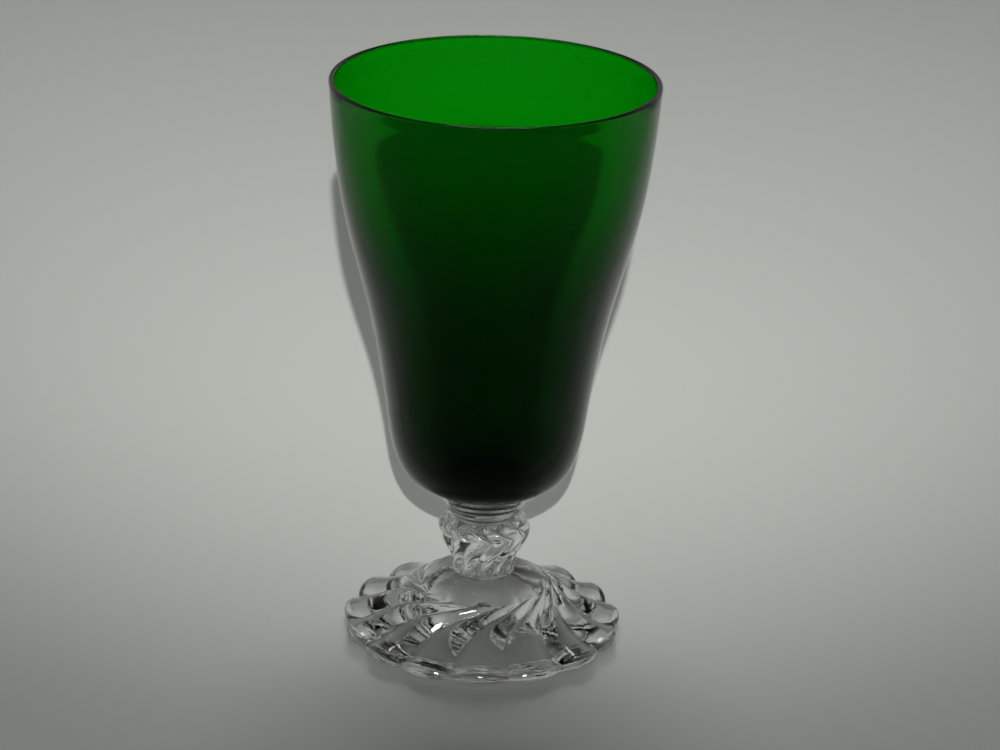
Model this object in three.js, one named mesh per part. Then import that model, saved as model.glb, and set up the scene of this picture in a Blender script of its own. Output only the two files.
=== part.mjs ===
// A footed juice tumbler: a blown green bowl on a clear pressed stem and foot.
// Millimetres, +Z up, with the origin at the centre of the resting plane.
// From the table up: a scalloped foot with swirled ribs, a swirl-fluted knop,
// a collar, and the bowl. They are fused hot, so flat face lies on flat face.

import * as THREE from 'three';

// Foot
const footRadius = 28.75;          // over the tips of the scallops
const footHeight = 13;             // resting plane to the seat of the knop
const footEdgeThickness = 3.1;
const footRestWidth = 3.7;         // flat ring that the glass stands on
const footRibCount = 15;
const footRibAngle = -90;          // degrees, middle of one rib at the edge
const footScallopDepth = 1.5;      // how far the edge draws in between two ribs
const footGrooveDepth = 1.4;       // depth of the grooves between the ribs
const footGrooveStart = 11.2;      // radius where the grooves leave the smooth hub
const footGrooveRise = 4.8;        // radial length over which a groove deepens
const footSwirl = 48;              // degrees that a rib turns on its way out
const footSwirlStart = 13.2;       // radius outside which the turn dies away
const footSwirlLength = 2.5;       // radial length over which it does
const footHollowDepth = 3.9;       // domed hollow under the foot, at its middle

// Knop
const knopHeight = 12.1;
const knopRadius = 9.4;            // at its widest
const knopShoulderHeight = 2.6;    // widest point to the seat of the collar
const knopWaistRadius = 7.1;       // slim lower part
const knopWaistHeight = 4;
const knopBaseRadius = 6.4;        // seat on the foot
const knopFluteCount = 12;
const knopFluteDepth = 0.9;
const knopSwirlAbove = 14;         // degrees that a flute turns above the widest point
const knopSwirlBelow = 46;         // degrees that it turns back below it

// Collar between knop and bowl: a flared ring, and on it a cup that the bowl sits in
const collarNeckRadius = 6.2;      // seat on the knop
const collarRingRadius = 7.9;
const collarRingHeight = 2.9;
const collarBandHeight = 0.5;      // upright edge of the ring
const collarCupHeight = 2.2;
const collarSeatRadius = 9.85;     // seat of the bowl

// Bowl
const bowlHeight = 87.3;
const bowlRimRadius = 32.45;       // outside of the lip
const bowlRimLean = 3.5;           // degrees that the wall still leans out at the lip
const bowlRimEase = 36.6;          // length over which the flare eases into the lip
const bowlWaistRadius = 20.25;     // slim lower part
const bowlWaistHeight = 17.8;
const bowlWaistLean = 7.1;         // degrees that the wall leans out at the waist
const bowlWaistEase = 35.3;        // length over which the waist eases into the flare
const bowlCornerEase = 15.4;       // length over which the waist eases into the bottom
const bowlToeRise = 43.6;          // degrees that the bottom rises where it leaves the collar
const bowlToeEase = 6.6;
const bowlRimWall = 1.1;
const bowlWaistWall = 3.2;
const bowlFloor = 5;               // glass between the collar and the inside
const bowlFloorEase = 12.5;        // reach of the flat part of the floor
const bowlFloorRise = 10;          // length over which the floor turns up into the wall

// Heights of the seats
const knopSeat = footHeight;
const collarSeat = knopSeat + knopHeight;
const bowlSeat = collarSeat + collarRingHeight + collarCupHeight;

// Fineness
const turnSegments = 48;
const hollowSteps = 5;
const ribSteps = 6;
const fluteSteps = 6;

const greenGlass = new THREE.MeshStandardMaterial({ color: 0x0a6e1e, roughness: 0.03, metalness: 0 });
const clearGlass = new THREE.MeshStandardMaterial({ color: 0xe4e8e2, roughness: 0.04, metalness: 0 });

const radians = THREE.MathUtils.degToRad;
const { smoothstep } = THREE.MathUtils;

// A point of an outline: distance from the axis and height.
function point(r, z) {
  return new THREE.Vector2(r, z);
}

// A point at a distance from another, in a direction given in degrees above the horizontal.
function beyond(from, degrees, length) {
  return point(from.x + length * Math.cos(radians(degrees)), from.y + length * Math.sin(radians(degrees)));
}

// A turned solid. The outline runs up the outside, from the axis to the axis.
function turned(outline) {
  return new THREE.LatheGeometry(outline, turnSegments).rotateX(Math.PI / 2);
}

// A closed solid from rings of points, the lowest first, capped to the axis at both ends.
function fromRings(rings) {
  const columns = rings[0].length;
  const positions = [];
  const triangles = [];
  rings.forEach((ring) => ring.forEach((p) => positions.push(p.x, p.y, p.z)));
  const bottom = rings.length * columns;
  const top = bottom + 1;
  positions.push(0, 0, rings[0][0].z, 0, 0, rings[rings.length - 1][0].z);
  for (let column = 0; column < columns; column += 1) {
    const next = (column + 1) % columns;
    triangles.push(bottom, next, column);
    for (let row = 0; row + 1 < rings.length; row += 1) {
      const here = row * columns;
      const above = here + columns;
      triangles.push(here + column, here + next, above + next, here + column, above + next, above + column);
    }
    triangles.push(top, bottom - columns + column, bottom - columns + next);
  }
  const geometry = new THREE.BufferGeometry();
  geometry.setAttribute('position', new THREE.Float32BufferAttribute(positions, 3));
  geometry.setIndex(triangles);
  geometry.computeVertexNormals();
  return geometry;
}

// A ring of points. For each column, place gives the radius, height and turn in degrees,
// from how far the column lies from the crown of its rib: 0 on the crown, 1 in the groove.
function ribbedRing(ribs, steps, place) {
  const points = [];
  for (let column = 0; column < ribs * steps; column += 1) {
    const across = (2 * (column % steps)) / steps - 1;
    const { r, z, turn } = place(across * across);
    const angle = radians((360 * (column - steps / 2)) / (ribs * steps) + turn);
    points.push(new THREE.Vector3(r * Math.cos(angle), r * Math.sin(angle), z));
  }
  return points;
}

// The foot, in rings from the middle of the underside, out round the edge and up to the hub.
// Every column of points follows its rib, so the rings turn with the swirl.
function footGeometry() {
  const ring = (place) => ribbedRing(footRibCount, ribSteps, place);
  const plainRing = (r, z, turn) => ring(() => ({ r, z, turn }));
  const edgeReach = footEdgeThickness / 2;
  const hollowRadius = footRadius - footScallopDepth - edgeReach - footRestWidth;
  const rings = [];
  for (let step = 1; step <= hollowSteps; step += 1) {
    const share = step / hollowSteps;
    rings.push(plainRing(hollowRadius * share, footHollowDepth * (1 - share * share), footRibAngle));
  }

  // Rounded scalloped edge, thinner and drawn in at each groove
  for (let slope = -90; slope <= 60; slope += 30) {
    rings.push(ring((share) => {
      const edge = (footEdgeThickness - footGrooveDepth * share) / 2;
      const middle = footRadius - footScallopDepth * share - edgeReach;
      const r = middle + edgeReach * Math.cos(radians(slope));
      const z = edge + edge * Math.sin(radians(slope));
      return { r, z, turn: footRibAngle };
    }));
  }

  // Domed top, with grooves that fade and swirl towards the hub
  const rim = point(footRadius - edgeReach, footEdgeThickness);
  const seat = point(knopBaseRadius, footHeight);
  const span = seat.clone().sub(rim);
  const rimHandle = point(rim.x + 0.49 * span.x, rim.y + 0.29 * span.y);
  const seatHandle = point(seat.x - 0.28 * span.x, seat.y - 0.025 * span.y);
  const dome = new THREE.CubicBezierCurve(rim, rimHandle, seatHandle, seat);
  const grooveEnd = footGrooveStart + footGrooveRise;
  dome.getPoints(16).forEach((crown) => {
    const depth = footGrooveDepth * smoothstep(crown.x, footGrooveStart, grooveEnd);
    const shift = footScallopDepth * smoothstep(crown.x, footGrooveStart, rim.x);
    const fade = Math.min(0, footSwirlStart - crown.x) / footSwirlLength;
    const turn = footRibAngle + footSwirl * Math.exp(fade);
    rings.push(ring((share) => ({ r: crown.x - shift * share, z: crown.y - depth * share, turn })));
  });
  return fromRings(rings);
}

// The knop, in rings from its seat on the foot to the seat of the collar. The flutes are pressed
// in from the side below the widest point, and more and more from above over the shoulder.
function knopGeometry() {
  const widest = knopHeight - knopShoulderHeight;
  const bulge = knopRadius - knopWaistRadius;
  const rise = widest - knopWaistHeight;
  const body = new THREE.CubicBezierCurve(
    point(knopWaistRadius, knopWaistHeight),
    point(knopWaistRadius + 0.3 * bulge, knopWaistHeight + 0.4 * rise),
    point(knopRadius, widest - 0.4 * rise),
    point(knopRadius, widest),
  );
  const shoulder = new THREE.CubicBezierCurve(
    point(knopRadius, widest),
    point(knopRadius, widest + 0.75 * knopShoulderHeight),
    point(knopRadius - 0.4 * (knopRadius - collarNeckRadius), knopHeight - 0.1 * knopShoulderHeight),
    point(collarNeckRadius, knopHeight),
  );
  const neck = [
    point(knopBaseRadius, 0),
    point(knopBaseRadius + 0.15 * (knopWaistRadius - knopBaseRadius), 0.3 * knopWaistHeight),
    point(knopBaseRadius + 0.5 * (knopWaistRadius - knopBaseRadius), 0.65 * knopWaistHeight),
  ];
  const crowns = [...neck, ...body.getPoints(5), ...shoulder.getPoints(6).slice(1)];
  return fromRings(crowns.map(({ x, y }) => {
    const below = Math.max(0, 1 - y / widest);
    const above = Math.max(0, (y - widest) / knopShoulderHeight);
    const depth = knopFluteDepth * (1 - smoothstep(below, 0.7, 1)) * (1 - smoothstep(above, 0.85, 1));
    const inward = depth * Math.cos((Math.PI / 2) * above);
    const down = depth * Math.sin((Math.PI / 2) * above);
    const turn = -knopSwirlBelow * below - knopSwirlAbove * above;
    const place = (share) => ({ r: x - inward * share, z: y - down * share, turn });
    return ribbedRing(knopFluteCount, fluteSteps, place);
  }));
}

// The collar flares from the knop's neck to the upright edge of its ring, then opens to the bowl.
function collarGeometry() {
  const band = collarRingHeight - collarBandHeight;
  const flare = new THREE.CubicBezierCurve(
    point(collarNeckRadius, 0),
    point(collarNeckRadius, 0.4 * band),
    point(collarRingRadius, 0.6 * band),
    point(collarRingRadius, band),
  );
  const ring = point(collarRingRadius, collarRingHeight);
  const seat = point(collarSeatRadius, collarRingHeight + collarCupHeight);
  const span = seat.clone().sub(ring);
  const ringHandle = point(ring.x + 0.34 * span.x, ring.y + 0.4 * span.y);
  const seatHandle = point(ring.x + 0.675 * span.x, ring.y + 0.727 * span.y);
  const cup = new THREE.CubicBezierCurve(ring, ringHandle, seatHandle, seat);
  return turned([point(0, 0), ...flare.getPoints(5), ...cup.getPoints(4), point(0, seat.y)]);
}

// The bowl: rounded bottom, slim waist, and a flare that ends nearly upright at a rounded lip.
function bowlGeometry() {
  const lip = bowlRimWall / 2;
  const seat = point(collarSeatRadius, 0);
  const floor = point(0, bowlFloor);
  const waist = point(bowlWaistRadius, bowlWaistHeight);
  const rim = point(bowlRimRadius, bowlHeight - lip);
  const waistInside = point(waist.x - bowlWaistWall, waist.y);
  const rimInside = point(rim.x - bowlRimWall, rim.y);
  const up = 90 - bowlWaistLean;
  const down = up - 180;
  const flare = (low, high) => new THREE.CubicBezierCurve(
    low,
    beyond(low, up, bowlWaistEase),
    beyond(high, -90 - bowlRimLean, bowlRimEase),
    high,
  );
  const bottom = new THREE.CubicBezierCurve(
    seat,
    beyond(seat, bowlToeRise, bowlToeEase),
    beyond(waist, down, bowlCornerEase),
    waist,
  );
  const inside = new THREE.CubicBezierCurve(
    waistInside,
    beyond(waistInside, down, bowlFloorRise),
    point(bowlFloorEase, bowlFloor),
    floor,
  );
  const round = new THREE.Path().absarc(rim.x - lip, rim.y, lip, 0, Math.PI);
  return turned([
    point(0, 0),
    ...bottom.getPoints(10),
    ...flare(waist, rim).getPoints(10).slice(1),
    ...round.getPoints(6).slice(1, -1),
    ...flare(waistInside, rimInside).getPoints(8).reverse(),
    ...inside.getPoints(8).slice(1),
  ]);
}

function piece(name, geometry, material, height) {
  const mesh = new THREE.Mesh(geometry, material);
  mesh.name = name;
  mesh.position.z = height;
  return mesh;
}

const tumbler = new THREE.Group();
tumbler.add(
  piece('foot', footGeometry(), clearGlass, 0),
  piece('knop_stem', knopGeometry(), clearGlass, knopSeat),
  piece('collar', collarGeometry(), clearGlass, collarSeat),
  piece('bowl', bowlGeometry(), greenGlass, bowlSeat),
);

export default tumbler;
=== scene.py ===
import math

import bpy
from mathutils import Matrix, Vector


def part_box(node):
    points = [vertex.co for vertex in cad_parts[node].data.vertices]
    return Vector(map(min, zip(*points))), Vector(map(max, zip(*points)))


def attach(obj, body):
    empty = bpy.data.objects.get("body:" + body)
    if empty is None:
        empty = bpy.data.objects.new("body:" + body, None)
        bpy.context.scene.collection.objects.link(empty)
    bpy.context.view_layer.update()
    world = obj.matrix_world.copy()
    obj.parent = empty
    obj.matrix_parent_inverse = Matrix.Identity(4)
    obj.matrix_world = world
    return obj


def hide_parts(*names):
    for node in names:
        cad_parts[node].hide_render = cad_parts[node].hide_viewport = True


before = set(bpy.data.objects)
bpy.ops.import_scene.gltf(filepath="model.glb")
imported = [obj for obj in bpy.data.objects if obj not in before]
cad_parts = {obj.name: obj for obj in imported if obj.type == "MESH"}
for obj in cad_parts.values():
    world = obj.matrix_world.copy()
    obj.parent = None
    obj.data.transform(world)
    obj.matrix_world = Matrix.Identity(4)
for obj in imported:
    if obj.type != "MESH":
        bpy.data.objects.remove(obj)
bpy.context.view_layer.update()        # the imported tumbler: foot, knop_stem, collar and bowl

mm = 0.001


# Camera, from the proportions of the rim and the foot in the photograph
cameraSetup = {
    "focalPixels": 3048,       # focal length in pixels of the 1000 x 750 picture
    "pictureWidth": 1000,
    "sensorWidth": 36.0,
    "nearest": 0.01,           # metres from which things are drawn
    "place": (0.0, -0.5702, 0.2827),
    "pitch": 21.70,            # degrees down
    "yaw": 0.24,               # degrees to the right
    "roll": 1.60,              # degrees that the picture leans clockwise
}


def makeCamera(setup):
    pitch, yaw, roll = (math.radians(setup[k]) for k in ("pitch", "yaw", "roll"))
    forward = Vector((math.sin(yaw) * math.cos(pitch),
                      math.cos(yaw) * math.cos(pitch),
                      -math.sin(pitch)))
    level = Vector((math.cos(yaw), -math.sin(yaw), 0.0))
    upright = level.cross(forward)
    right = math.cos(roll) * level + math.sin(roll) * upright
    up = right.cross(forward)
    lens = bpy.data.cameras.new("photoCamera")
    lens.sensor_fit = "HORIZONTAL"
    lens.sensor_width = setup["sensorWidth"]
    lens.lens = setup["focalPixels"] * setup["sensorWidth"] / setup["pictureWidth"]
    lens.clip_start = setup["nearest"]
    camera = bpy.data.objects.new("photoCamera", lens)
    turn = Matrix((right, up, -forward)).transposed().to_4x4()
    camera.matrix_world = Matrix.Translation(setup["place"]) @ turn
    bpy.context.scene.collection.objects.link(camera)
    bpy.context.scene.camera = camera


makeCamera(cameraSetup)
print("camera placed")


# Small helpers for node trees
def addNode(tree, kind, **settings):
    node = tree.nodes.new(kind)
    for name, value in settings.items():
        setattr(node, name, value)
    return node


def join(tree, node, socket, value):
    # a socket takes either another socket or a plain value
    if isinstance(value, bpy.types.NodeSocket):
        tree.links.new(value, node.inputs[socket])
    else:
        node.inputs[socket].default_value = value


def calc(tree, operation, a, b=None, c=None):
    node = addNode(tree, "ShaderNodeMath", operation=operation)
    for socket, value in enumerate((a, b, c)):
        if value is not None:
            join(tree, node, socket, value)
    return node.outputs[0]


def wholeCalc(tree, operation, a, b):
    node = addNode(tree, "FunctionNodeIntegerMath", operation=operation)
    join(tree, node, 0, a)
    join(tree, node, 1, b)
    return node.outputs[0]


def mapped(tree, value, low, high, atLow, atHigh):
    node = addNode(tree, "ShaderNodeMapRange", interpolation_type="SMOOTHSTEP")
    join(tree, node, "Value", value)
    join(tree, node, "From Min", low)
    join(tree, node, "From Max", high)
    join(tree, node, "To Min", atLow)
    join(tree, node, "To Max", atHigh)
    return node.outputs["Result"]


def stretchedNoise(tree, scale, detail):
    # scale is how many grains go into a metre along x, y and z
    fitted = addNode(tree, "ShaderNodeMapping")
    join(tree, fitted, "Vector", addNode(tree, "ShaderNodeTexCoord").outputs["Object"])
    join(tree, fitted, "Scale", scale)
    noise = addNode(tree, "ShaderNodeTexNoise")
    join(tree, noise, "Vector", fitted.outputs[0])
    join(tree, noise, "Scale", 1.0)
    join(tree, noise, "Detail", detail)
    return noise.outputs[0]


def raised(tree, shader, heights, metres):
    bump = addNode(tree, "ShaderNodeBump")
    join(tree, bump, "Height", heights)
    join(tree, bump, "Strength", 1.0)
    join(tree, bump, "Distance", metres)
    join(tree, shader, "Normal", bump.outputs[0])


def addInput(tree, name, kind, value=None):
    socket = tree.interface.new_socket(name, in_out="INPUT", socket_type=kind)
    if value is not None:
        socket.default_value = value


# The tree that turns an outline round the axis and presses swirled ribs into it.
# The outline is a chain of points: x is the radius and z the height. Its attributes say,
# point by point, how much of the groove, scallop and waviness applies there, and how far
# the ribs have turned.
latheSetup = {
    "waveSquash": 0.45,        # waves are longer up the glass than round it
    "waveDetail": 1.0,
    "weld": 1e-6,              # metres within which points become one
}


def makeSwirlLathe(setup):
    tree = bpy.data.node_groups.new("swirlLathe", "GeometryNodeTree")
    addInput(tree, "Outline", "NodeSocketGeometry")
    addInput(tree, "Ribs", "NodeSocketInt", 1)
    addInput(tree, "Steps per Rib", "NodeSocketInt", 96)
    addInput(tree, "First Rib", "NodeSocketFloat", 0.0)
    addInput(tree, "Groove Depth", "NodeSocketFloat", 0.0)
    addInput(tree, "Scallop Depth", "NodeSocketFloat", 0.0)
    addInput(tree, "Crease", "NodeSocketFloat", 0.5)
    addInput(tree, "Waviness", "NodeSocketFloat", 0.0)
    addInput(tree, "Wave Scale", "NodeSocketFloat", 60.0)
    addInput(tree, "Glass", "NodeSocketMaterial")
    tree.interface.new_socket("Mesh", in_out="OUTPUT", socket_type="NodeSocketGeometry")
    given = addNode(tree, "NodeGroupInput").outputs

    rows = addNode(tree, "GeometryNodeAttributeDomainSize", component="MESH")
    join(tree, rows, "Geometry", given["Outline"])
    rowCount = rows.outputs["Point Count"]
    columnCount = wholeCalc(tree, "MULTIPLY", given["Ribs"], given["Steps per Rib"])
    grid = addNode(tree, "GeometryNodeMeshGrid")
    join(tree, grid, "Vertices X", wholeCalc(tree, "ADD", columnCount, 1))
    join(tree, grid, "Vertices Y", rowCount)
    index = addNode(tree, "GeometryNodeInputIndex").outputs[0]
    row = wholeCalc(tree, "FLOORED_MODULO", index, rowCount)
    column = wholeCalc(tree, "DIVIDE_FLOOR", index, rowCount)

    def fromOutline(kind, field):
        sample = addNode(tree, "GeometryNodeSampleIndex", data_type=kind, domain="POINT")
        join(tree, sample, "Geometry", given["Outline"])
        join(tree, sample, "Value", field)
        join(tree, sample, "Index", row)
        return sample.outputs[0]

    def weight(name):
        named = addNode(tree, "GeometryNodeInputNamedAttribute", data_type="FLOAT")
        join(tree, named, "Name", name)
        return fromOutline("FLOAT", named.outputs[0])

    def aroundAxis(radius, height):
        place = addNode(tree, "ShaderNodeCombineXYZ")
        join(tree, place, 0, calc(tree, "MULTIPLY", radius, cosine))
        join(tree, place, 1, calc(tree, "MULTIPLY", radius, sine))
        join(tree, place, 2, height)
        return place.outputs[0]

    drawnAt = fromOutline("FLOAT_VECTOR", addNode(tree, "GeometryNodeInputPosition").outputs[0])
    split = addNode(tree, "ShaderNodeSeparateXYZ")
    join(tree, split, 0, drawnAt)

    # how deep the groove is across the rib: 0 on the crown, 1 between two ribs
    across = calc(tree, "FRACT", calc(tree, "DIVIDE", column, given["Steps per Rib"]))
    across = calc(tree, "MULTIPLY_ADD", across, 2.0, -1.0)
    crease = calc(tree, "MULTIPLY", across, across)
    wave = calc(tree, "COSINE", calc(tree, "MULTIPLY", across, math.pi))
    wave = calc(tree, "MULTIPLY_ADD", wave, -0.5, 0.5)
    blend = addNode(tree, "ShaderNodeMix", data_type="FLOAT")
    join(tree, blend, 0, given["Crease"])
    join(tree, blend, 2, wave)
    join(tree, blend, 3, crease)
    share = blend.outputs[0]

    drawn = calc(tree, "MULTIPLY", given["Scallop Depth"], weight("scallop"))
    drawn = calc(tree, "MULTIPLY", drawn, share)
    sunk = calc(tree, "MULTIPLY", given["Groove Depth"], weight("groove"))
    sunk = calc(tree, "MULTIPLY", sunk, share)
    radius = calc(tree, "SUBTRACT", split.outputs["X"], drawn)
    height = calc(tree, "SUBTRACT", split.outputs["Z"], sunk)

    # where the column stands round the axis, with the swirl of this row
    half = calc(tree, "MULTIPLY", given["Steps per Rib"], 0.5)
    turned = calc(tree, "DIVIDE", calc(tree, "SUBTRACT", column, half), columnCount)
    angle = calc(tree, "MULTIPLY_ADD", turned, math.tau, weight("turn"))
    angle = calc(tree, "ADD", angle, given["First Rib"])
    cosine = calc(tree, "COSINE", angle)
    sine = calc(tree, "SINE", angle)

    # slow unevenness of blown glass
    squashed = calc(tree, "MULTIPLY", height, setup["waveSquash"])
    noise = addNode(tree, "ShaderNodeTexNoise", noise_dimensions="3D")
    join(tree, noise, "Vector", aroundAxis(radius, squashed))
    join(tree, noise, "Scale", given["Wave Scale"])
    join(tree, noise, "Detail", setup["waveDetail"])
    swell = calc(tree, "SUBTRACT", noise.outputs[0], 0.5)
    most = calc(tree, "MULTIPLY", given["Waviness"], weight("wavy"))
    radius = calc(tree, "ADD", radius, calc(tree, "MULTIPLY", swell, most))

    moved = addNode(tree, "GeometryNodeSetPosition")
    join(tree, moved, "Geometry", grid.outputs["Mesh"])
    join(tree, moved, "Position", aroundAxis(radius, height))
    merged = addNode(tree, "GeometryNodeMergeByDistance")
    join(tree, merged, "Geometry", moved.outputs[0])
    join(tree, merged, "Distance", setup["weld"])
    smooth = addNode(tree, "GeometryNodeSetShadeSmooth")
    join(tree, smooth, "Geometry", merged.outputs[0])
    real = addNode(tree, "GeometryNodeRealizeInstances")
    join(tree, real, "Geometry", smooth.outputs[0])
    coated = addNode(tree, "GeometryNodeSetMaterial")
    join(tree, coated, "Geometry", real.outputs[0])
    join(tree, coated, "Material", given["Glass"])
    join(tree, addNode(tree, "NodeGroupOutput"), 0, coated.outputs[0])
    return tree


swirlLathe = makeSwirlLathe(latheSetup)


# An outline point: radius and height in millimetres, then the weights that the tree reads
def spot(r, z, groove=0.0, scallop=0.0, turn=0.0, wavy=0.0):
    return {"r": r, "z": z, "groove": groove, "scallop": scallop, "turn": turn, "wavy": wavy}


# The flat end of an outline, at these shares of its radius
def disc(r, z, shares, turn=0.0):
    return [spot(r * share, z, turn=turn) for share in shares]


def bezier(start, leave, arrive, end, steps):
    points = []
    for i in range(steps + 1):
        t = i / steps
        s = 1 - t
        points.append(tuple(
            s * s * s * a + 3 * s * s * t * b + 3 * s * t * t * c + t * t * t * d
            for a, b, c, d in zip(start, leave, arrive, end)))
    return points


def beyond(place, degrees, length):
    lean = math.radians(degrees)
    return place[0] + length * math.cos(lean), place[1] + length * math.sin(lean)


# The place that lies these shares of a span away, outward and upward
def partWay(place, span, shares):
    return place[0] + shares[0] * span[0], place[1] + shares[1] * span[1]


def smoothStep(x, low, high):
    t = min(1.0, max(0.0, (x - low) / (high - low)))
    return t * t * (3 - 2 * t)


# Runs the tree on an outline and keeps the result as a plain mesh
def turnGlass(name, outline, inputs):
    mesh = bpy.data.meshes.new(name + "Outline")
    mesh.from_pydata([(p["r"] * mm, 0.0, p["z"] * mm) for p in outline],
                     [(i, i + 1) for i in range(len(outline) - 1)], [])
    for weight in ("groove", "scallop", "turn", "wavy"):
        values = mesh.attributes.new(weight, "FLOAT", "POINT")
        values.data.foreach_set("value", [p[weight] for p in outline])
    draft = bpy.data.objects.new(name + "Outline", mesh)
    bpy.context.scene.collection.objects.link(draft)
    modifier = draft.modifiers.new("swirlLathe", "NODES")
    modifier.node_group = swirlLathe
    for item in swirlLathe.interface.items_tree:
        if item.in_out == "INPUT" and item.name in inputs:
            modifier[item.identifier] = inputs[item.name]
    graph = bpy.context.evaluated_depsgraph_get()
    solid = bpy.data.meshes.new_from_object(draft.evaluated_get(graph), depsgraph=graph)
    solid.name = name
    bpy.data.objects.remove(draft)
    piece = bpy.data.objects.new(name, solid)
    bpy.context.scene.collection.objects.link(piece)
    print(name, "turned:", len(solid.vertices), "points")
    return piece


def startGlass(name, colour, ior):
    glass = bpy.data.materials.new(name)
    glass.use_nodes = True
    shader = glass.node_tree.nodes["Principled BSDF"]
    shader.inputs["Base Color"].default_value = colour
    shader.inputs["IOR"].default_value = ior
    shader.inputs["Transmission Weight"].default_value = 1.0
    return glass, glass.node_tree, shader


# Clear pressed glass: the mould leaves a faint pebbling, and the polish is uneven
clearSetup = {
    "tint": (0.965, 0.975, 0.96, 1.0), "ior": 1.5, "detail": 2.0,
    "pebbles": (900.0, 900.0, 900.0), "pebbleHeight": 0.00002,
    "patches": (220.0, 220.0, 220.0), "patchFrom": 0.35, "patchTo": 0.65,
    "glossiest": 0.004, "dullest": 0.03,
}


def makeClearGlass(setup):
    glass, tree, shader = startGlass("clearPressedGlass", setup["tint"], setup["ior"])
    patches = stretchedNoise(tree, setup["patches"], setup["detail"])
    polish = mapped(tree, patches, setup["patchFrom"], setup["patchTo"],
                    setup["glossiest"], setup["dullest"])
    join(tree, shader, "Roughness", polish)
    pebbles = stretchedNoise(tree, setup["pebbles"], setup["detail"])
    raised(tree, shader, pebbles, setup["pebbleHeight"])
    return glass


# Green blown glass: the colour is in the body of the glass, so thick places are darker
greenSetup = {
    "surface": (1.0, 1.0, 1.0, 1.0), "gloss": (0.07, 0.18, 0.08, 1.0), "ior": 1.5, "detail": 1.0,
    "absorbs": (0.0, 0.88, 0.12, 1.0), "density": 5000.0,
    "streaks": (420.0, 420.0, 16.0), "streakHeight": 0.000006,        # upright lines of the blowing
    "scratches": (1600.0, 1600.0, 40.0), "scratchFrom": 0.62, "scratchTo": 0.7,
    "glossiest": 0.002, "scratchDull": 0.05,
}


def makeGreenGlass(setup):
    glass, tree, shader = startGlass("greenBlownGlass", setup["surface"], setup["ior"])
    shader.inputs["Specular Tint"].default_value = setup["gloss"]
    scratches = stretchedNoise(tree, setup["scratches"], setup["detail"])
    wear = mapped(tree, scratches, setup["scratchFrom"], setup["scratchTo"],
                  setup["glossiest"], setup["scratchDull"])
    join(tree, shader, "Roughness", wear)
    streaks = stretchedNoise(tree, setup["streaks"], setup["detail"])
    raised(tree, shader, streaks, setup["streakHeight"])
    body = addNode(tree, "ShaderNodeVolumeAbsorption")
    body.inputs["Color"].default_value = setup["absorbs"]
    body.inputs["Density"].default_value = setup["density"]
    tree.links.new(body.outputs[0], tree.nodes["Material Output"].inputs["Volume"])
    return glass


clearGlass = makeClearGlass(clearSetup)
greenGlass = makeGreenGlass(greenSetup)
print("glass mixed")

fuse = 0.15        # millimetres that each piece sinks into the one below, as fused glass does


# Foot
footSetup = {
    "radius": 28.75, "edge": 3.1, "restWidth": 3.7, "hollow": 3.9, "seatRadius": 6.4,
    "ribs": 15, "firstRib": -90.0, "scallop": 1.5, "groove": 1.4, "crease": 1.0,
    "grooveStart": 11.2, "grooveRise": 4.8,
    "swirl": 48.0, "swirlStart": 13.2, "swirlLength": 2.5,
    "rimBend": (0.49, 0.29), "seatBend": (-0.28, -0.025),        # shares of the dome's span
    "hollowSteps": 20, "restSteps": 8, "edgeSteps": 18, "domeSteps": 84, "ribSteps": 18,
    "topDisc": (0.95, 0.5, 0.0),
}


def footOutline(setup):
    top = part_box("foot")[1].z / mm
    edge = setup["edge"]
    rim = (setup["radius"] - edge / 2, edge)
    seat = (setup["seatRadius"], top)
    hollowRadius = rim[0] - setup["scallop"] - setup["restWidth"]

    def turn(r):
        out = max(0.0, r - setup["swirlStart"])
        return math.radians(setup["swirl"]) * math.exp(-out / setup["swirlLength"])

    points = []
    for i in range(setup["hollowSteps"] + 1):
        share = i / setup["hollowSteps"]
        r = hollowRadius * share
        points.append(spot(r, setup["hollow"] * (1 - share * share), turn=turn(r)))
    for i in range(1, setup["restSteps"]):
        share = i / setup["restSteps"]
        r = hollowRadius + (rim[0] - hollowRadius) * share
        points.append(spot(r, 0, scallop=share, turn=turn(r)))
    for i in range(setup["edgeSteps"] + 1):
        slope = -90 + 180 * i / setup["edgeSteps"]
        r, z = beyond((rim[0], edge / 2), slope, edge / 2)
        points.append(spot(r, z, groove=z / edge, scallop=1.0, turn=turn(r)))
    span = (seat[0] - rim[0], seat[1] - rim[1])
    dome = bezier(rim, partWay(rim, span, setup["rimBend"]),
                  partWay(seat, span, setup["seatBend"]), seat, setup["domeSteps"])
    for r, z in dome[1:]:
        groove = smoothStep(r, setup["grooveStart"], setup["grooveStart"] + setup["grooveRise"])
        scallop = smoothStep(r, setup["grooveStart"], rim[0])
        points.append(spot(r, z, groove, scallop, turn(r)))
    return points + disc(seat[0], top, setup["topDisc"], turn(0))


def makeFoot(setup):
    foot = turnGlass("foot_glass", footOutline(setup), {
        "Ribs": setup["ribs"], "Steps per Rib": setup["ribSteps"],
        "First Rib": math.radians(setup["firstRib"]),
        "Groove Depth": setup["groove"] * mm, "Scallop Depth": setup["scallop"] * mm,
        "Crease": setup["crease"], "Glass": clearGlass})
    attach(foot, "root")
    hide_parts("foot")


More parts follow.
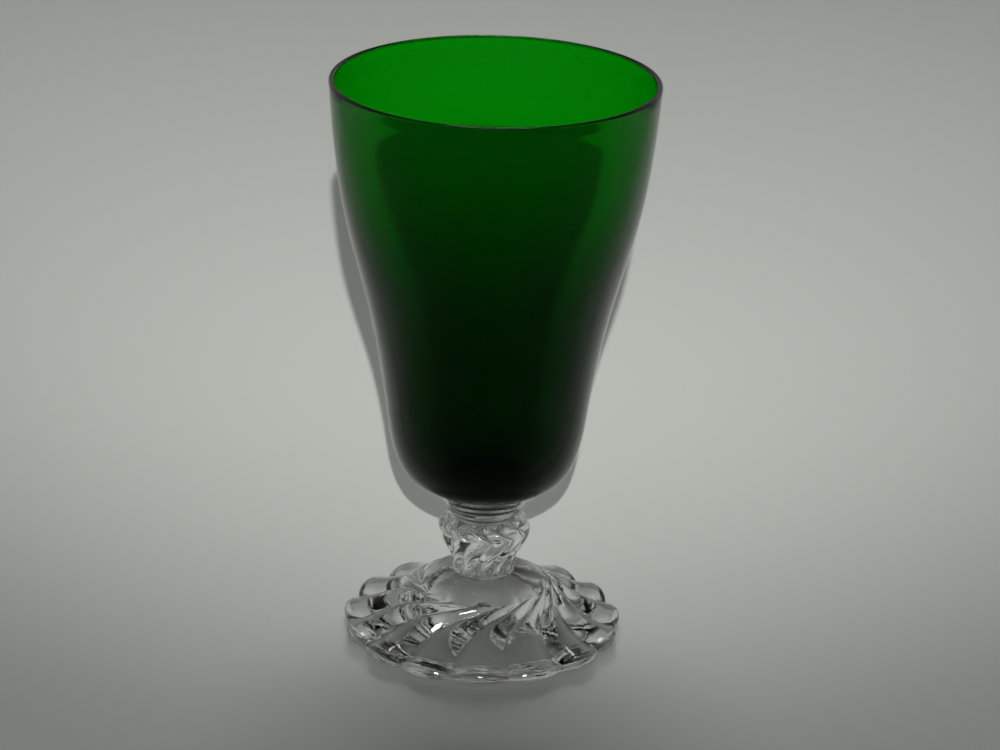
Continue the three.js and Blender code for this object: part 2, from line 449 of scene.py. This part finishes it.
# Knop
knopSetup = {
    "radius": 9.4, "shoulder": 2.6, "waistRadius": 7.1, "waistHeight": 4.0,
    "baseRadius": 6.4, "neckRadius": 6.2,
    "flutes": 12, "depth": 0.9, "firstFlute": 0.0, "crease": 0.7,
    "swirlAbove": 14.0, "swirlBelow": 46.0,
    "fadeBelow": 0.7, "fadeAbove": 0.85,        # where the flutes start to run out
    "baseBend": (0.0, 0.4), "waistIn": (-0.3, -0.4), "waistOut": (0.3, 0.4),
    "crestIn": (0.0, -0.4), "crestOut": (0.0, 0.75), "neckBend": (0.6, -0.1),
    "lowerSteps": 18, "bodySteps": 24, "shoulderSteps": 28, "fluteSteps": 18,
    "baseDisc": (0.0, 0.9, 0.99), "topDisc": (0.95, 0.5, 0.0),
}


def knopOutline(setup):
    low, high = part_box("knop_stem")
    base = low.z / mm
    height = (high.z - low.z) / mm
    widest = height - setup["shoulder"]
    foot = (setup["baseRadius"], 0)
    waist = (setup["waistRadius"], setup["waistHeight"])
    crest = (setup["radius"], widest)
    neck = (setup["neckRadius"], height)
    swell = (crest[0] - waist[0], crest[1] - waist[1])
    narrowing = (crest[0] - neck[0], setup["shoulder"])
    lower = bezier(foot, partWay(foot, waist, setup["baseBend"]),
                   partWay(waist, swell, setup["waistIn"]), waist, setup["lowerSteps"])
    body = bezier(waist, partWay(waist, swell, setup["waistOut"]),
                  partWay(crest, swell, setup["crestIn"]), crest, setup["bodySteps"])
    shoulder = bezier(crest, partWay(crest, narrowing, setup["crestOut"]),
                      partWay(neck, narrowing, setup["neckBend"]), neck, setup["shoulderSteps"])
    points = []
    for r, z in lower + body[1:] + shoulder[1:]:
        below = max(0.0, 1 - z / widest)
        above = max(0.0, (z - widest) / setup["shoulder"])
        depth = 1 - smoothStep(below, setup["fadeBelow"], 1.0)
        depth *= 1 - smoothStep(above, setup["fadeAbove"], 1.0)
        tilt = math.radians(90 * above)
        turn = math.radians(-setup["swirlBelow"] * below - setup["swirlAbove"] * above)
        points.append(spot(r, base + z, depth * math.sin(tilt), depth * math.cos(tilt), turn))
    sunk = disc(foot[0], base - fuse, setup["baseDisc"], points[0]["turn"])
    closed = disc(neck[0], base + height, setup["topDisc"], points[-1]["turn"])
    return sunk + points + closed


def makeKnop(setup):
    knop = turnGlass("knop_glass", knopOutline(setup), {
        "Ribs": setup["flutes"], "Steps per Rib": setup["fluteSteps"],
        "First Rib": setup["firstFlute"],
        "Groove Depth": setup["depth"] * mm, "Scallop Depth": setup["depth"] * mm,
        "Crease": setup["crease"], "Glass": clearGlass})
    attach(knop, "root")
    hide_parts("knop_stem")
    knop.visible_shadow = False        # clear glass lets the light through


# Collar
collarSetup = {
    "neckRadius": 6.2, "radius": 7.9, "band": 0.5, "cup": 2.2, "seatRadius": 9.85,
    "ringLine": 0.05,        # a narrow row that keeps the ring's upper edge crisp
    "flareIn": (0.0, 0.4), "flareOut": (0.0, -0.4), "cupIn": (0.34, 0.4), "cupOut": (0.675, 0.727),
    "flareSteps": 20, "cupSteps": 12, "roundSteps": 144,
    "baseDisc": (0.0, 0.9, 0.99), "topDisc": (0.995, 0.5, 0.0),
}


def collarOutline(setup):
    low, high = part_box("collar")
    base = low.z / mm
    top = high.z / mm
    neck = (setup["neckRadius"], base)
    ring = (setup["radius"], top - setup["cup"])
    band = (setup["radius"], ring[1] - setup["band"])
    seat = (setup["seatRadius"], top)
    rise = (band[0] - neck[0], band[1] - neck[1])
    spread = (seat[0] - ring[0], setup["cup"])
    flare = bezier(neck, partWay(neck, rise, setup["flareIn"]),
                   partWay(band, rise, setup["flareOut"]), band, setup["flareSteps"])
    cup = bezier(ring, partWay(ring, spread, setup["cupIn"]),
                 partWay(ring, spread, setup["cupOut"]), seat, setup["cupSteps"])
    wall = flare + [(ring[0], ring[1] - setup["ringLine"])] + cup
    points = disc(neck[0], base - fuse, setup["baseDisc"])
    points += [spot(r, z) for r, z in wall]
    return points + disc(seat[0], top, setup["topDisc"])


def makeCollar(setup):
    collar = turnGlass("collar_glass", collarOutline(setup), {
        "Ribs": 1, "Steps per Rib": setup["roundSteps"], "Glass": clearGlass})
    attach(collar, "root")
    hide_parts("collar")
    collar.visible_shadow = False        # clear glass lets the light through


# Bowl
bowlSetup = {
    "rimLean": 3.5, "rimEase": 36.6,
    "waistRadius": 20.25, "waistHeight": 17.8, "waistLean": 7.1, "waistEase": 35.3,
    "cornerEase": 15.4, "toeRise": 43.6, "toeEase": 6.6, "seatRadius": 9.85,
    "rimWall": 1.1, "waistWall": 3.2, "floor": 5.0, "floorEase": 12.5, "floorRise": 10.0,
    "waviness": 0.08, "waveScale": 70.0, "wavyFrom": 6.0, "wavyTo": 18.0,
    "flareSteps": 48, "bottomSteps": 36, "insideSteps": 36, "lipSteps": 14, "roundSteps": 192,
    "baseDisc": (0.0, 0.9, 0.985),
}


def bowlOutline(setup):
    low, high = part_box("bowl")
    base = low.z / mm
    height = high.z / mm - base
    lip = setup["rimWall"] / 2
    seat = (setup["seatRadius"], 0)
    waist = (setup["waistRadius"], setup["waistHeight"])
    rim = (high.x / mm, height - lip)
    waistInside = (waist[0] - setup["waistWall"], waist[1])
    rimInside = (rim[0] - setup["rimWall"], rim[1])
    up = 90 - setup["waistLean"]

    def flare(lowEnd, highEnd):
        return bezier(lowEnd, beyond(lowEnd, up, setup["waistEase"]),
                      beyond(highEnd, -90 - setup["rimLean"], setup["rimEase"]),
                      highEnd, setup["flareSteps"])

    bottom = bezier(seat, beyond(seat, setup["toeRise"], setup["toeEase"]),
                    beyond(waist, up - 180, setup["cornerEase"]), waist, setup["bottomSteps"])
    inside = bezier(waistInside, beyond(waistInside, up - 180, setup["floorRise"]),
                    (setup["floorEase"], setup["floor"]), (0, setup["floor"]), setup["insideSteps"])
    steps = setup["lipSteps"]
    rounded = [beyond((rim[0] - lip, rim[1]), 180 * i / steps, lip) for i in range(1, steps)]
    wall = bottom + flare(waist, rim)[1:] + rounded
    wall += flare(waistInside, rimInside)[::-1] + inside[1:]
    points = disc(seat[0], base - fuse, setup["baseDisc"])
    for r, z in wall:
        wavy = smoothStep(z, setup["wavyFrom"], setup["wavyTo"])
        points.append(spot(r, base + z, wavy=wavy))
    return points


def makeBowl(setup):
    bowl = turnGlass("bowl_glass", bowlOutline(setup), {
        "Ribs": 1, "Steps per Rib": setup["roundSteps"], "Waviness": setup["waviness"] * mm,
        "Wave Scale": setup["waveScale"], "Glass": greenGlass})
    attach(bowl, "root")
    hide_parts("bowl")


makeFoot(footSetup)
makeKnop(knopSetup)
makeCollar(collarSetup)
makeBowl(bowlSetup)
print("glass assembled")


# Pale floor
floorSetup = {
    "colour": (0.45, 0.46, 0.43, 1.0), "roughness": 0.9, "specular": 0.1,
    "reach": 3.0, "below": 0.0002,
}


def makeFloor(setup):
    material = bpy.data.materials.new("paleFloor")
    material.use_nodes = True
    shader = material.node_tree.nodes["Principled BSDF"]
    shader.inputs["Base Color"].default_value = setup["colour"]
    shader.inputs["Roughness"].default_value = setup["roughness"]
    shader.inputs["Specular IOR Level"].default_value = setup["specular"]
    reach = setup["reach"]
    square = ((-reach, -reach), (reach, -reach), (reach, reach), (-reach, reach))
    mesh = bpy.data.meshes.new("floor")
    mesh.from_pydata([(x, y, -setup["below"]) for x, y in square], [], [(0, 1, 2, 3)])
    mesh.materials.append(material)
    floor = bpy.data.objects.new("floor", mesh)
    bpy.context.scene.collection.objects.link(floor)


# Lamps: one with a beam is a spotlight, and "lights" names the kinds of ray that see the lamp
lampSetup = {
    "overhead": {"place": (0.0, 0.42, 1.15), "aim": (0.0, 0.15, 0.0), "size": 0.45, "power": 3.4,
                 "lights": ("diffuse", "glossy")},
    "front": {"place": (0.006, -0.72, 0.406), "aim": (0.0, 0.72, 0.0), "size": 0.006, "power": 78.0,
              "beam": 33.0, "widen": 1.2, "lights": ("diffuse",)},
    "back": {"place": (0.0, 0.72, 0.406), "aim": (0.0, -0.72, 0.0), "size": 0.3, "power": 32.0,
             "beam": 33.0, "widen": 1.2, "lights": ("diffuse",)},
    "left": {"place": (-0.62, 0.0, 0.7), "aim": (-0.62, 0.0, 0.0), "size": 0.3, "power": 16.0,
             "beam": 70.0, "lights": ("diffuse",)},
    "right": {"place": (0.62, 0.0, 0.7), "aim": (0.62, 0.0, 0.0), "size": 0.3, "power": 16.0,
              "beam": 70.0, "lights": ("diffuse",)},
    "sparkle": {"place": (0.0, -0.62, 0.355), "aim": (0.0, 0.0, 0.08), "size": 0.2, "power": 4.0,
                "lights": ("glossy",)},
}


def makeLamp(name, setup):
    lamp = bpy.data.lights.new(name, "SPOT" if "beam" in setup else "AREA")
    if "beam" in setup:
        lamp.spot_size = math.radians(setup["beam"])
        lamp.spot_blend = 1.0
        lamp.shadow_soft_size = setup["size"] / 2
    else:
        lamp.shape = "DISK"
        lamp.size = setup["size"]
    lamp.energy = setup["power"]
    holder = bpy.data.objects.new(name, lamp)
    holder.location = setup["place"]
    toward = Vector(setup["aim"]) - Vector(setup["place"])
    holder.rotation_euler = toward.to_track_quat("-Z", "Y").to_euler()
    holder.scale.x = setup.get("widen", 1.0)
    holder.visible_diffuse = "diffuse" in setup["lights"]
    holder.visible_glossy = "glossy" in setup["lights"]
    holder.visible_transmission = "transmission" in setup["lights"]
    bpy.context.scene.collection.objects.link(holder)


# The glass sees a bright horizon at both sides, under a dim ceiling; the floor gets a plain
# fill light. Each stop is the sine of a height above the horizon, and the level there.
worldSetup = {
    "tint": (1.0, 1.02, 0.98, 1.0), "fill": 0.09,
    "middle": 0.45, "middleFrom": 0.06, "middleTo": 0.3,
    "stops": ((0.0, 0.42), (0.3, 0.4), (0.55, 0.25), (0.8, 0.04)),
}


def makeWorld(setup):
    world = bpy.data.worlds.new("studio")
    world.use_nodes = True
    tree = world.node_tree
    light = tree.nodes["Background"]
    direction = addNode(tree, "ShaderNodeSeparateXYZ")
    join(tree, direction, 0, addNode(tree, "ShaderNodeTexCoord").outputs["Generated"])
    ramp = addNode(tree, "ShaderNodeValToRGB")
    ramp.color_ramp.interpolation = "EASE"
    stops = ramp.color_ramp.elements
    while len(stops) < len(setup["stops"]):
        stops.new(1.0)
    for stop, (height, level) in zip(stops, setup["stops"]):
        stop.position = height
        stop.color = (level, level, level, 1.0)
    join(tree, ramp, 0, direction.outputs["Z"])
    aside = calc(tree, "ABSOLUTE", direction.outputs["X"])
    aside = mapped(tree, aside, setup["middleFrom"], setup["middleTo"], setup["middle"], 1.0)
    level = calc(tree, "MULTIPLY", ramp.outputs[0], aside)
    ray = addNode(tree, "ShaderNodeLightPath").outputs
    shown = calc(tree, "MAXIMUM", ray["Is Camera Ray"], ray["Is Glossy Ray"])
    shown = calc(tree, "MAXIMUM", shown, ray["Is Transmission Ray"])
    strength = addNode(tree, "ShaderNodeMix", data_type="FLOAT")
    join(tree, strength, 0, shown)
    join(tree, strength, 2, setup["fill"])
    join(tree, strength, 3, level)
    join(tree, light, "Color", setup["tint"])
    join(tree, light, "Strength", strength.outputs[0])
    bpy.context.scene.world = world


makeFloor(floorSetup)
for lampName, lampValues in lampSetup.items():
    makeLamp(lampName, lampValues)
makeWorld(worldSetup)
bpy.context.scene.view_settings.view_transform = "Standard"
print("studio lit")
